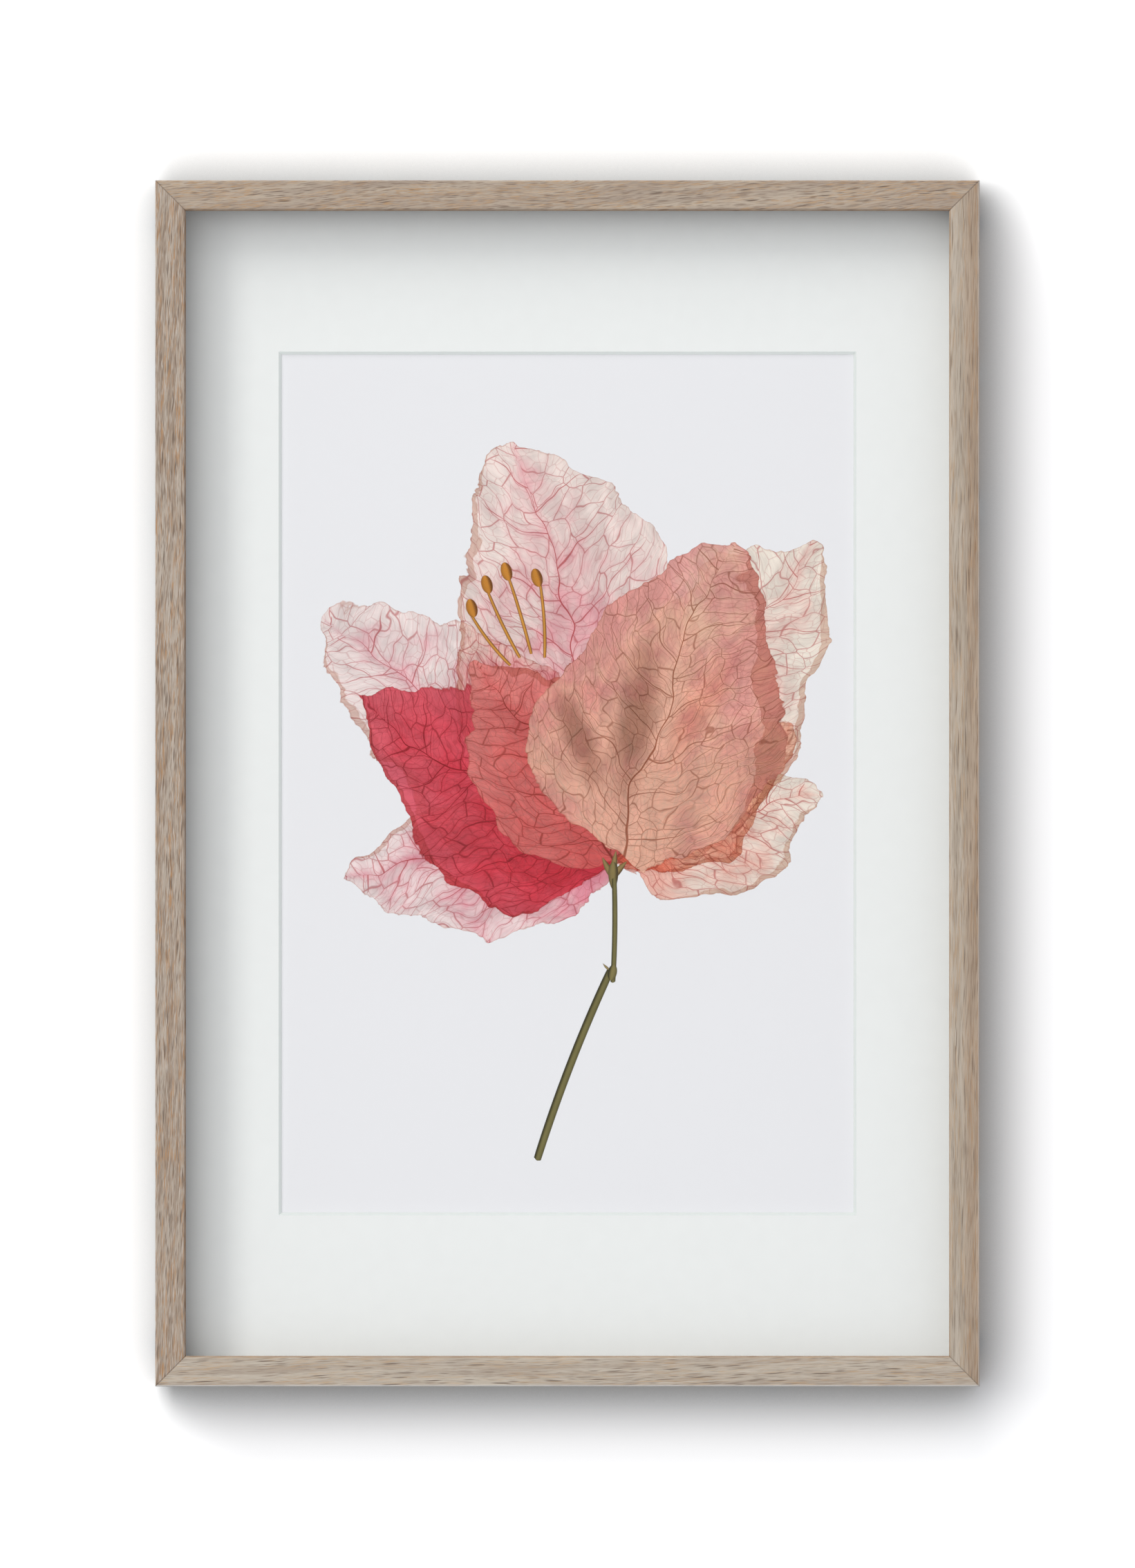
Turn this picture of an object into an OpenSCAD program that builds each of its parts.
// Wall-hung gallery box frame in solid oak: four mitred mouldings, a glazed
// package set back behind spacer fillets, a turn-button back and two D-rings.
//
// Frame of reference, in millimetres: X runs across the frame, left to right as seen
// from the room, Z runs up it, and Y runs from the room (front face, negative) to the
// wall (bumpers, positive). The origin lies at the centre of the frame's overall box.

/* [Sight opening] */
// Width of the opening seen inside the lip
sight_w = 400; // [300:10:500]
// Height of the opening seen inside the lip
sight_h = 600; // [450:10:750]

/* [Moulding] */
// Width of the moulding's front face
face_w = 16; // [14:1:22]
// Depth of the moulding, front face to back face
moulding_d = 32; // [30:1:40]
// Width of the lip that covers the glass edge
lip_w = 6; // [5:0.5:7]
// Thickness of the lip, front face to rebate
lip_t = 4.5; // [3:0.5:6]
// Radius of the arris round the sight opening
inner_arris_r = 1.6; // [0.5:0.1:2.5]
// Radius of the outer front arris
outer_arris_r = 0.7; // [0.3:0.1:2]
// How far the diagonal nick in the outer back edge takes up each face
back_chamfer = 0.6; // [0.2:0.1:1.2]

/* [Glazed package] */
// Glass thickness
glass_t = 2; // [2:0.5:3]
// Width of a spacer fillet
fillet_w = 5; // [3:0.5:5]
// Window mat thickness
mat_t = 1.5; // [1.4:0.1:2.4]
// Width of the picture area left open by the window mat
window_w = 300; // [200:10:340]
// Height of the picture area left open by the window mat
window_h = 450; // [300:10:540]
// Print paper thickness
print_t = 0.2; // [0.15:0.05:0.4]
// How far the print runs under the mat on each side
print_overlap = 10; // [5:1:20]
// Undermount board thickness
undermount_t = 1.5; // [1.4:0.1:2.4]
// Filler board thickness
filler_t = 4; // [3:0.5:5]
// Back panel thickness
back_t = 3; // [2.5:0.5:4]
// Clearance between a board's edge and the rebate wall
edge_gap = 1; // [0.5:0.25:1.5]

/* [Wall standoff] */
// Height of a wall bumper, which is also the gap behind the frame
bumper_h = 5; // [5:0.5:8]
// Radius of a wall bumper
bumper_r = 4.5; // [4:0.25:4.75]

/* [Turn buttons] */
// Distance from a turn button's pivot to the centre of its tip
button_reach = 18; // [14:1:22]
// Thickness of a turn button
button_t = 1.2; // [1:0.1:1.5]
// Height up the stile of the upper and lower turn buttons
button_z = 215; // [180:5:230]
// Distance of a rail's turn buttons from its centre
button_x = 105; // [80:5:130]

/* [D-ring hangers] */
// Height of the ring pivots above the frame's centre
ring_z = 140; // [110:5:160]
// Radius of the ring's wire
wire_r = 1.1; // [0.9:0.05:1.15]
// Height of the bow's centre above the ring's pivot
ring_leg = 7; // [6.5:0.25:8]

/* [Hidden] */
$fn = 48;

over = 1;          // how far a cutting shape runs past what it cuts
hairline = 0.01;   // overlap within a piece, or parting between two pieces
pivot_gap = 0.08;  // clearance round a turning part

// Outside size, and the planes of the moulding's faces.
out_w = sight_w + 2 * face_w;
out_h = sight_h + 2 * face_w;
y_wall = (moulding_d + bumper_h) / 2;
y_back = y_wall - bumper_h;
y_front = -y_wall;
y_rebate = y_front + lip_t;

// Turn buttons and bumpers sit on the centre line of the wall behind the lip.
wall_w = face_w - lip_w;
wall_x = out_w / 2 - wall_w / 2;
wall_z = out_h / 2 - wall_w / 2;

oak = [0.73, 0.66, 0.57];
steel = [0.72, 0.71, 0.69];
linen = [0.94, 0.93, 0.88];

// ---------------------------------------------------------------- helpers

// What is left of a square corner once it is rounded to the given radius.
module corner_round(radius) {
    difference() {
        translate([-over, -over]) square(radius + over);
        translate([radius, radius]) circle(radius, $fn = 64);
    }
}

// Cylinder along Y: positive y is towards the wall.
module along_y(radius, from, to) {
    translate([0, from, 0]) rotate([-90, 0, 0]) cylinder(r = radius, h = to - from);
}

// Domed screw head with a cross recess, underside at y = 0.
module screw_head(radius, height) {
    dome_r = 1.35 * radius;
    slot_l = 1.1 * radius;
    slot_w = 0.7;
    slot_d = 0.9;
    slot_turn = 20;
    difference() {
        intersection() {
            along_y(radius, 0, height);
            translate([0, height - dome_r, 0]) sphere(r = dome_r);
        }
        for (angle = [0, 90]) rotate([0, angle + slot_turn, 0])
            translate([-slot_l / 2, height - slot_d, -slot_w / 2])
                cube([slot_l, slot_d + 0.1, slot_w]);
    }
}

// ---------------------------------------------------- fastener positions

// Turn buttons: pivot x, pivot z, and the angle about Y that aims the tip inwards.
BUTTONS = [
    [-button_x,  wall_z, 180], [button_x,  wall_z, 180],              // top rail
    [-button_x, -wall_z,   0], [button_x, -wall_z,   0],              // bottom rail
    [-wall_x, button_z,  90], [-wall_x, 0,  90], [-wall_x, -button_z,  90],  // left stile
    [ wall_x, button_z, -90], [ wall_x, 0, -90], [ wall_x, -button_z, -90]   // right stile
];

// Shouldered button screws: the neck carries the button, the shank is in the wood.
neck_r = 2;
shank_r = 1.5;
shank_l = 13;

// D-ring straps. A strap hangs down from its ring's pivot.
strap_t = 1.6;
strap_w = 5.9;
strap_l = 21.5;            // pivot to foot
STRAP_SCREWS = [6, 17.5];  // screws of one strap, measured down from the pivot
strap_screw_r = 1.3;
strap_screw_depth = 12 - strap_t;

// Ring legs pass just outside the strap's loop, and the wire bends only once it is clear.
ring_half = strap_w / 2 + wire_r + 0.35;
ring_bar_half = strap_w / 2 + 0.05;
ring_bend = ring_half - ring_bar_half;
ring_x = out_w / 2 - (ring_half + wire_r + 0.3);

// Places children at a turn button's pivot, with the tip's direction along +Z.
module at_button(button) {
    translate([button[0], y_back, button[1]]) rotate([0, button[2], 0]) children();
}

// Places children on the back plane at a ring's pivot: side is -1 left, 1 right.
module at_ring(side) { translate([side * ring_x, y_back, ring_z]) children(); }

module at_strap_screws() {
    for (side = [-1, 1], drop = STRAP_SCREWS)
        at_ring(side) translate([0, 0, -drop]) children();
}

// ------------------------------------------------------------ oak mouldings

// Moulding section: x from the outer edge inwards, y from the front face back.
module moulding_section() {
    easing = 0.5;
    nick_w = back_chamfer * sqrt(2);
    difference() {
        square([face_w, moulding_d]);
        translate([wall_w, lip_t]) square([lip_w + over, moulding_d]);
        corner_round(outer_arris_r);
        translate([face_w, 0]) mirror([1, 0]) corner_round(inner_arris_r);
        // diagonal nick in the outer back edge
        translate([0, moulding_d]) rotate(45) square([nick_w, 2 * nick_w], center = true);
        // small easing where the lip's inner face meets the rebate
        translate([face_w, lip_t]) rotate(45) square(easing, center = true);
    }
}

// One mitred length, lying along X below the centre, outer edge down.
module mitred_length(long, across) {
    mitre = face_w + over;
    translate([0, y_front, -across / 2]) intersection() {
        rotate([0, -90, 0]) linear_extrude(height = long, center = true) moulding_section();
        translate([0, moulding_d + over, 0]) rotate([90, 0, 0])
            linear_extrude(height = moulding_d + 2 * over)
                polygon([[-long / 2, 0], [long / 2, 0],
                         [long / 2 - mitre, mitre], [-long / 2 + mitre, mitre]]);
    }
}

// Section of a corner nail: two legs at a right angle with turned-in ends.
module v_nail_section() {
    sheet_t = 0.6;
    leg = 4.2;
    turned_in = 1.3;
    square([leg, sheet_t]);
    square([sheet_t, leg]);
    translate([leg - sheet_t, 0]) square([sheet_t, turned_in]);
    translate([0, leg - sheet_t]) square([turned_in, sheet_t]);
}

// A nail in each corner, its legs pointing inwards, flush with the back face.
module v_nails() {
    inset = 3.8;
    nail_l = 12;
    for (side = [-1, 1], end = [-1, 1])
        translate([side * (out_w / 2 - inset), 0, end * (out_h / 2 - inset)])
            mirror([side > 0 ? 1 : 0, 0, 0]) mirror([0, 0, end > 0 ? 1 : 0])
                translate([0, y_back, 0]) rotate([90, 0, 0])
                    linear_extrude(height = nail_l) v_nail_section();
}

// Everything that is driven into the wood from behind.
module driven_fasteners() {
    v_nails();
    for (button = BUTTONS) at_button(button) along_y(shank_r, -shank_l, over);
    at_strap_screws() along_y(strap_screw_r, -strap_screw_depth, over);
}

// Moulding on one side of the frame: the angle about Y turns it there from the bottom.
module oak_member(turn, long, across) {
    color(oak) difference() {
        rotate([0, turn, 0]) mitred_length(long, across);
        driven_fasteners();
    }
}

module rail_bottom() { oak_member(0, out_w, out_h); }
module rail_top() { oak_member(180, out_w, out_h); }
module stile_left() { oak_member(90, out_h, out_w); }
module stile_right() { oak_member(-90, out_h, out_w); }

module corner_v_nails() { color(steel) v_nails(); }

// ------------------------------------------------------------- the package

// Rebate opening and the size of the glass and boards that drop into it.
rebate_w = sight_w + 2 * lip_w;
rebate_h = sight_h + 2 * lip_w;
board_w = rebate_w - 2 * edge_gap;
board_h = rebate_h - 2 * edge_gap;
print_w = window_w + 2 * print_overlap;
print_h = window_h + 2 * print_overlap;

// Stack of layers, front to back. The spacer takes up what depth is left.
layer_gap = 0.05;
print_space = 0.4;   // between mat and undermount, for the print and its tapes
panel_inset = 0.1;   // back panel behind the moulding's back plane
tape_t = 0.1;
y_glass = y_rebate + layer_gap;
y_spacer = y_glass + glass_t + layer_gap;
y_panel = y_back - panel_inset - back_t;
y_filler = y_panel - layer_gap - filler_t;
y_undermount = y_filler - layer_gap - undermount_t;
y_mat = y_undermount - print_space - mat_t;
spacer_t = y_mat - layer_gap - y_spacer;
y_print = y_mat + mat_t + layer_gap;
y_tape = y_print + print_t + 0.02;

// Upright spacers run the full height; level ones fit between them.
spacer_fit = 0.1;
spacer_long = rebate_h - 2 * spacer_fit;
spacer_short = rebate_w - 2 * fillet_w - 2 * spacer_fit;

// Flat sheet centred in the frame, with its front face at y.
module layer(width, height, y, thickness) {
    translate([-width / 2, y, -height / 2]) cube([width, thickness, height]);
}

module board(y, thickness) { layer(board_w, board_h, y, thickness); }

module glazing() { color([0.85, 0.93, 0.92, 0.3]) board(y_glass, glass_t); }

// A spacer on one side of the rebate: the angle about Y turns it there from the bottom.
module spacer(turn, long, across) {
    width = fillet_w - spacer_fit;
    easing = 0.5;
    color(oak) rotate([0, turn, 0]) translate([0, 0, -across / 2 + spacer_fit]) difference() {
        translate([-long / 2, y_spacer, 0]) cube([long, spacer_t, width]);
        // eased inner front edge, next to the glass
        translate([0, y_spacer, width]) rotate([45, 0, 0])
            cube([long + 2 * over, easing, easing], center = true);
    }
}

module spacer_bottom() { spacer(0, spacer_short, rebate_h); }
module spacer_top() { spacer(180, spacer_short, rebate_h); }
module spacer_left() { spacer(90, spacer_long, rebate_w); }
module spacer_right() { spacer(-90, spacer_long, rebate_w); }

// Bar with 45-degree flanks: half-width as given at the mat's back, wider at its front.
module bevel_slab(half, long) {
    front_half = half + mat_t + over;
    back_half = half - over;
    linear_extrude(height = long, center = true)
        polygon([[-front_half, -over], [front_half, -over],
                 [back_half, mat_t + over], [-back_half, mat_t + over]]);
}

module window_mat() {
    color([0.91, 0.92, 0.91]) difference() {
        board(y_mat, mat_t);
        translate([0, y_mat, 0]) intersection() {
            bevel_slab(window_w / 2, board_h);
            rotate([0, 90, 0]) bevel_slab(window_h / 2, board_w);
        }
    }
}

module print_sheet() { color([0.91, 0.91, 0.92]) layer(print_w, print_h, y_print, print_t); }

// T-hinge of gummed linen: a pendant behind the print's top edge, and a crosspiece above it.
module t_hinge(side) {
    pendant = [25, tape_t, 30];
    pendant_drop = 12;
    crosspiece = [60, tape_t, 20];
    crosspiece_rise = 4;
    color(linen) translate([side * print_w * 0.3, y_tape, print_h / 2]) {
        translate([-pendant[0] / 2, 0, -pendant_drop]) cube(pendant);
        translate([-crosspiece[0] / 2, -tape_t, crosspiece_rise]) cube(crosspiece);
    }
}
module print_hinge_left() { t_hinge(-1); }
module print_hinge_right() { t_hinge(1); }

// Folded linen tape behind the mat's top edge, on which the mat opens like a book.
module mat_hinge_tape() {
    tape_w = board_w * 0.92;
    tape_h = 20;
    color(linen) translate([-tape_w / 2, y_tape - tape_t, board_h / 2 - tape_h])
        cube([tape_w, 2 * tape_t, tape_h]);
}

module undermount_board() { color([0.95, 0.94, 0.9]) board(y_undermount, undermount_t); }
module filler_board() { color([0.96, 0.96, 0.95]) board(y_filler, filler_t); }
module back_panel() { color([0.55, 0.41, 0.28]) board(y_panel, back_t); }

// ------------------------------------------------------------ turn buttons

button_lift = 0.05;  // play on each side of a button, under it and under the screw head
neck_l = button_t + 2 * button_lift;

// Outline of a turn button: pivot at the origin, tip towards +y.
module button_outline() {
    pivot_end_r = 4.4;
    tip_r = 3.2;
    // Sine and cosine of the angle by which the tangent flanks lean inwards.
    lean_sin = (pivot_end_r - tip_r) / button_reach;
    lean_cos = sqrt(1 - lean_sin * lean_sin);
    circle(pivot_end_r, $fn = 64);
    translate([0, button_reach]) circle(tip_r, $fn = 64);
    polygon([[-pivot_end_r * lean_cos, pivot_end_r * lean_sin],
             [pivot_end_r * lean_cos, pivot_end_r * lean_sin],
             [tip_r * lean_cos, button_reach + tip_r * lean_sin],
             [-tip_r * lean_cos, button_reach + tip_r * lean_sin]]);
}

// Rib down a button's middle, with round ends, cut off flat inside the button.
module button_rib() {
    rib_r = 1.5;
    rib_y = button_lift + button_t - 0.7;
    rib_start = 7.2;
    rib_end = button_reach - 1;
    intersection() {
        union() {
            translate([0, rib_y, rib_start]) cylinder(r = rib_r, h = rib_end - rib_start);
            for (z = [rib_start, rib_end]) translate([0, rib_y, z]) sphere(r = rib_r);
        }
        translate([-5, button_lift + button_t / 2, 0]) cube([10, 3, button_reach + 5]);
    }
}

module turn_button(button) {
    color(steel) at_button(button) difference() {
        union() {
            translate([0, button_lift + button_t, 0]) rotate([90, 0, 0])
                linear_extrude(height = button_t) button_outline();
            button_rib();
        }
        along_y(neck_r + pivot_gap, -over, 5);
    }
}

module turn_button_top_left() { turn_button(BUTTONS[0]); }
module turn_button_top_right() { turn_button(BUTTONS[1]); }
module turn_button_bottom_left() { turn_button(BUTTONS[2]); }
module turn_button_bottom_right() { turn_button(BUTTONS[3]); }
module turn_button_left_upper() { turn_button(BUTTONS[4]); }
module turn_button_left_middle() { turn_button(BUTTONS[5]); }
module turn_button_left_lower() { turn_button(BUTTONS[6]); }
module turn_button_right_upper() { turn_button(BUTTONS[7]); }
module turn_button_right_middle() { turn_button(BUTTONS[8]); }
module turn_button_right_lower() { turn_button(BUTTONS[9]); }

module turn_button_screws() {
    color(steel) for (button = BUTTONS) at_button(button) {
        translate([0, neck_l, 0]) screw_head(radius = 3.3, height = 1.9);
        along_y(neck_r, 0, neck_l + hairline);
        along_y(shank_r, -shank_l, hairline);
    }
}

// ----------------------------------------------------------------- D-rings

loop_r = 2.1;         // rolled loop, and the height of its axis off the back plane
strap_hole_r = 1.6;

module strap(side) {
    foot_r = strap_w / 2;
    foot_z = -strap_l + foot_r;
    color(steel) at_ring(side) difference() {
        union() {
            // strip, square at the loop and round at the foot
            translate([-strap_w / 2, hairline, foot_z])
                cube([strap_w, strap_t - hairline, -foot_z]);
            intersection() {
                translate([0, 0, foot_z]) along_y(foot_r, hairline, strap_t);
                translate([-strap_w, 0, -strap_l - over])
                    cube([2 * strap_w, strap_t, foot_r + over + 0.5]);
            }
            // rolled loop round the ring's bar
            translate([-strap_w / 2, loop_r, 0]) rotate([0, 90, 0])
                cylinder(r = loop_r - hairline, h = strap_w);
        }
        translate([-strap_w, loop_r, 0]) rotate([0, 90, 0])
            cylinder(r = wire_r + pivot_gap, h = 2 * strap_w);
        for (drop = STRAP_SCREWS)
            translate([0, 0, -drop]) along_y(strap_hole_r, -over, strap_t + over);
    }
}
module d_ring_strap_left() { strap(-1); }
module d_ring_strap_right() { strap(1); }

module d_ring_strap_screws() {
    color(steel) at_strap_screws() {
        translate([0, strap_t, 0]) screw_head(radius = 2.5, height = 1.6);
        along_y(strap_screw_r, -strap_screw_depth, strap_t + hairline);
    }
}

// Bent wire ring: a bar through the strap's loop, two legs and a round bow.
module d_ring(side) {
    color(steel) at_ring(side) translate([0, loop_r, 0]) {
        translate([-ring_bar_half, 0, 0]) rotate([0, 90, 0])
            cylinder(r = wire_r, h = 2 * ring_bar_half);
        for (flip = [0, 1]) mirror([flip, 0, 0]) {
            translate([ring_bar_half, 0, ring_bend]) rotate([90, 0, 0]) rotate([0, 0, -90])
                rotate_extrude(angle = 90) translate([ring_bend, 0]) circle(wire_r);
            translate([ring_half, 0, ring_bend]) cylinder(r = wire_r, h = ring_leg - ring_bend);
        }
        translate([0, 0, ring_leg]) rotate([90, 0, 0])
            rotate_extrude(angle = 180) translate([ring_half, 0]) circle(wire_r);
    }
}
module d_ring_left() { d_ring(-1); }
module d_ring_right() { d_ring(1); }

// ------------------------------------------------------------ wall bumpers

// Round bumper near a corner, with its edge rounded at the wall end.
module bumper(side, end) {
    end_inset = 22;
    edge_r = 1.2;
    color([0.16, 0.15, 0.14])
        translate([side * wall_x, y_back, end * (out_h / 2 - end_inset)]) rotate([-90, 0, 0])
            rotate_extrude($fn = 64) difference() {
                square([bumper_r, bumper_h]);
                translate([bumper_r, bumper_h]) mirror([1, 0]) mirror([0, 1])
                    corner_round(edge_r);
            }
}
module wall_bumper_top_left() { bumper(-1, 1); }
module wall_bumper_top_right() { bumper(1, 1); }
module wall_bumper_bottom_left() { bumper(-1, -1); }
module wall_bumper_bottom_right() { bumper(1, -1); }

// ------------------------------------------------------------------- nodes

rail_top();
rail_bottom();
stile_left();
stile_right();
corner_v_nails();
glazing();
spacer_top();
spacer_bottom();
spacer_left();
spacer_right();
window_mat();
print_sheet();
print_hinge_left();
print_hinge_right();
mat_hinge_tape();
undermount_board();
filler_board();
back_panel();
turn_button_top_left();
turn_button_top_right();
turn_button_bottom_left();
turn_button_bottom_right();
turn_button_left_upper();
turn_button_left_middle();
turn_button_left_lower();
turn_button_right_upper();
turn_button_right_middle();
turn_button_right_lower();
turn_button_screws();
d_ring_strap_left();
d_ring_strap_right();
d_ring_strap_screws();
d_ring_left();
d_ring_right();
wall_bumper_top_left();
wall_bumper_top_right();
wall_bumper_bottom_left();
wall_bumper_bottom_right();
